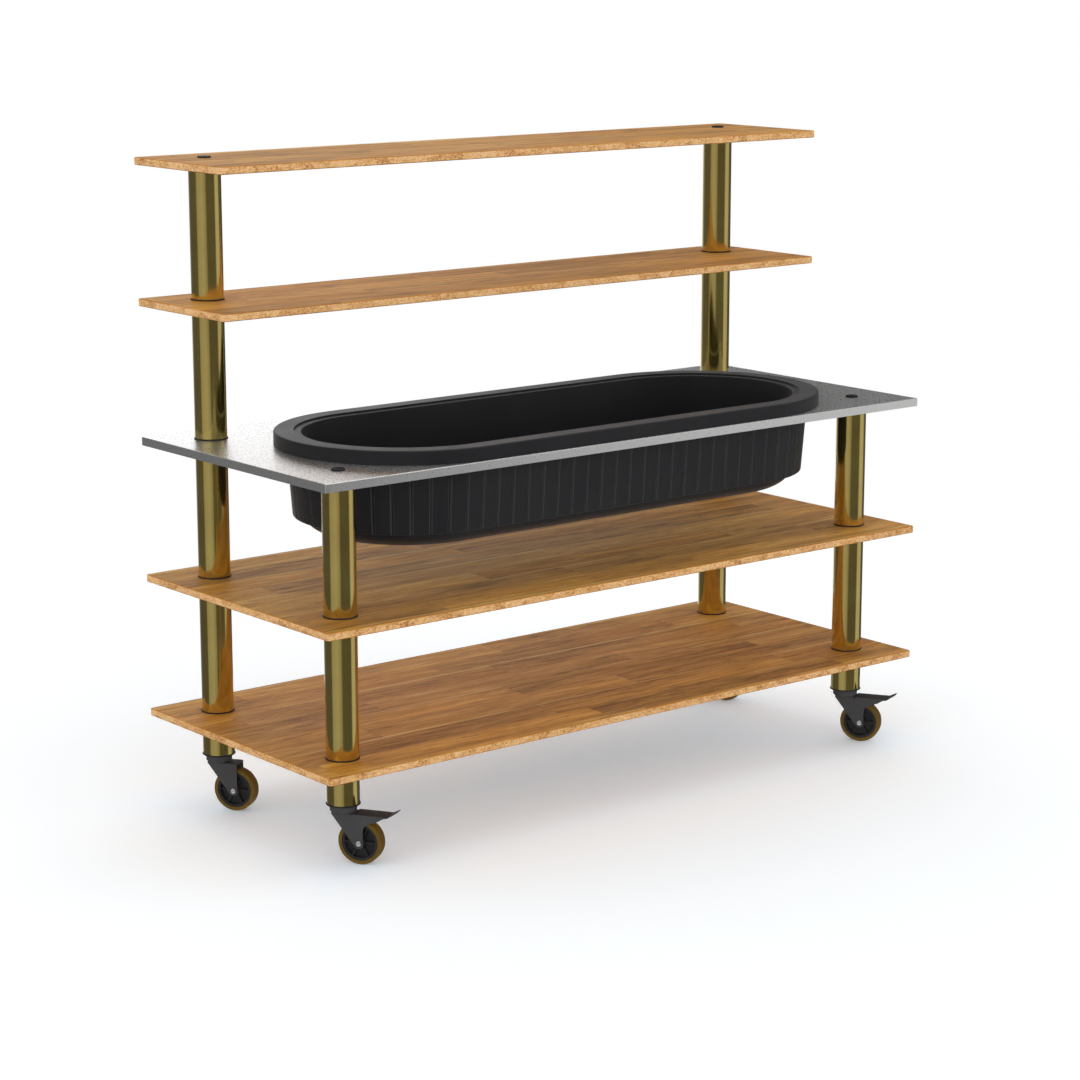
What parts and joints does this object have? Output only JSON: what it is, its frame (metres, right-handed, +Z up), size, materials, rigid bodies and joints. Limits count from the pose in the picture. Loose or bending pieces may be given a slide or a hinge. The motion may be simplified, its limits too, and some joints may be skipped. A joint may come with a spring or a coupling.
{
  "type": "back bar station",
  "caption": "Mobile back bar station: wooden shelves and a metal-clad counter threaded on tube columns with braked swivel casters, and an oval ribbed ice tub that lifts out of the counter.",
  "frame": {"origin": "on the floor, midway between both ends and between the front and back edges of the counter", "axes": "+X along the length to the right as seen from the front, +Y from the front to the back where the upper shelves stand, +Z up"},
  "size_m": [1.83, 0.76, 1.5665],
  "materials": {
    "shelf_wood": "oiled hardwood staves, satin",
    "core_board": "raw panel board, hidden under the metal",
    "counter_metal": "fine hammered grain, satin",
    "column_brass": "polished",
    "tub_plastic": "moulded, satin black",
    "foam": "rigid foam, hidden",
    "black_plastic": "moulded, fine texture",
    "black_metal": "charcoal coating, satin",
    "plated_steel": "zinc plated",
    "axle_chrome": "bright plated",
    "wheel_rubber": "cast polyurethane, dark amber, satin"
  },
  "bodies": {
    "station": {"lower_shelf": "shelf_wood", "middle_shelf": "shelf_wood", "counter_core": "core_board", "counter_skin": "counter_metal", "upper_shelf": "shelf_wood", "top_shelf": "shelf_wood", "stub_tube_front_left": "column_brass", "lower_tube_front_left": "column_brass", "middle_tube_front_left": "column_brass", "stub_tube_front_right": "column_brass", "lower_tube_front_right": "column_brass", "middle_tube_front_right": "column_brass", "stub_tube_rear_left": "column_brass", "lower_tube_rear_left": "column_brass", "middle_tube_rear_left": "column_brass", "upper_tube_rear_left": "column_brass", "top_tube_rear_left": "column_brass", "stub_tube_rear_right": "column_brass", "lower_tube_rear_right": "column_brass", "middle_tube_rear_right": "column_brass", "upper_tube_rear_right": "column_brass", "top_tube_rear_right": "column_brass", "foot_plugs": "black_plastic", "head_plugs": "black_plastic", "stem_sockets": "plated_steel", "cap_nuts": "black_metal", "swivel_washers": "plated_steel", "tie_rod_front_left": "plated_steel", "tie_rod_front_right": "plated_steel", "tie_rod_rear_left": "plated_steel", "tie_rod_rear_right": "plated_steel", "caster_stem_front_left": "black_metal", "caster_stem_front_right": "black_metal", "caster_stem_rear_left": "black_metal", "caster_stem_rear_right": "black_metal"},
    "tub": {"tub_liner": "tub_plastic", "tub_insulation": "foam", "tub_shell": "tub_plastic"},
    "caster_front_left": {"caster_fork_front_left": "black_metal", "axle_set_front_left": "axle_chrome", "pedal_pin_front_left": "black_metal"},
    "wheel_front_left": {"wheel_hub_front_left": "black_plastic", "wheel_tread_front_left": "wheel_rubber"},
    "pedal_front_left": {"brake_pedal_front_left": "black_metal"},
    "caster_front_right": {"caster_fork_front_right": "black_metal", "axle_set_front_right": "axle_chrome", "pedal_pin_front_right": "black_metal"},
    "wheel_front_right": {"wheel_hub_front_right": "black_plastic", "wheel_tread_front_right": "wheel_rubber"},
    "pedal_front_right": {"brake_pedal_front_right": "black_metal"},
    "caster_rear_left": {"caster_fork_rear_left": "black_metal", "axle_set_rear_left": "axle_chrome"},
    "wheel_rear_left": {"wheel_hub_rear_left": "black_plastic", "wheel_tread_rear_left": "wheel_rubber"},
    "caster_rear_right": {"caster_fork_rear_right": "black_metal", "axle_set_rear_right": "axle_chrome"},
    "wheel_rear_right": {"wheel_hub_rear_right": "black_plastic", "wheel_tread_rear_right": "wheel_rubber"}
  },
  "joints": [
    {"name": "tub_lift", "type": "slide", "parent": "station", "child": "tub", "axis": [0, 0, 1], "range_m": [0, 0.215]},
    {"name": "swivel_front_left", "type": "hinge", "parent": "station", "child": "caster_front_left", "pos_m": [-0.798, -0.26, 0.12975], "axis": [0, 0, 1], "continuous": true},
    {"name": "roll_front_left", "type": "hinge", "parent": "caster_front_left", "child": "wheel_front_left", "pos_m": [-0.77368, -0.29606, 0.0525], "axis": [0.829, 0.5592, 0], "continuous": true},
    {"name": "brake_front_left", "type": "hinge", "parent": "caster_front_left", "child": "pedal_front_left", "pos_m": [-0.77172, -0.29896, 0.11], "axis": [0.829, 0.5592, 0], "range_deg": [0, 12]},
    {"name": "swivel_front_right", "type": "hinge", "parent": "station", "child": "caster_front_right", "pos_m": [0.798, -0.26, 0.12975], "axis": [0, 0, 1], "continuous": true},
    {"name": "roll_front_right", "type": "hinge", "parent": "caster_front_right", "child": "wheel_front_right", "pos_m": [0.82232, -0.29606, 0.0525], "axis": [0.829, 0.5592, 0], "continuous": true},
    {"name": "brake_front_right", "type": "hinge", "parent": "caster_front_right", "child": "pedal_front_right", "pos_m": [0.82428, -0.29896, 0.11], "axis": [0.829, 0.5592, 0], "range_deg": [0, 12]},
    {"name": "swivel_rear_left", "type": "hinge", "parent": "station", "child": "caster_rear_left", "pos_m": [-0.798, 0.26, 0.12975], "axis": [0, 0, 1], "continuous": true},
    {"name": "roll_rear_left", "type": "hinge", "parent": "caster_rear_left", "child": "wheel_rear_left", "pos_m": [-0.77368, 0.22394, 0.0525], "axis": [0.829, 0.5592, 0], "continuous": true},
    {"name": "swivel_rear_right", "type": "hinge", "parent": "station", "child": "caster_rear_right", "pos_m": [0.798, 0.26, 0.12975], "axis": [0, 0, 1], "continuous": true},
    {"name": "roll_rear_right", "type": "hinge", "parent": "caster_rear_right", "child": "wheel_rear_right", "pos_m": [0.82232, 0.22394, 0.0525], "axis": [0.829, 0.5592, 0], "continuous": true}
  ]
}
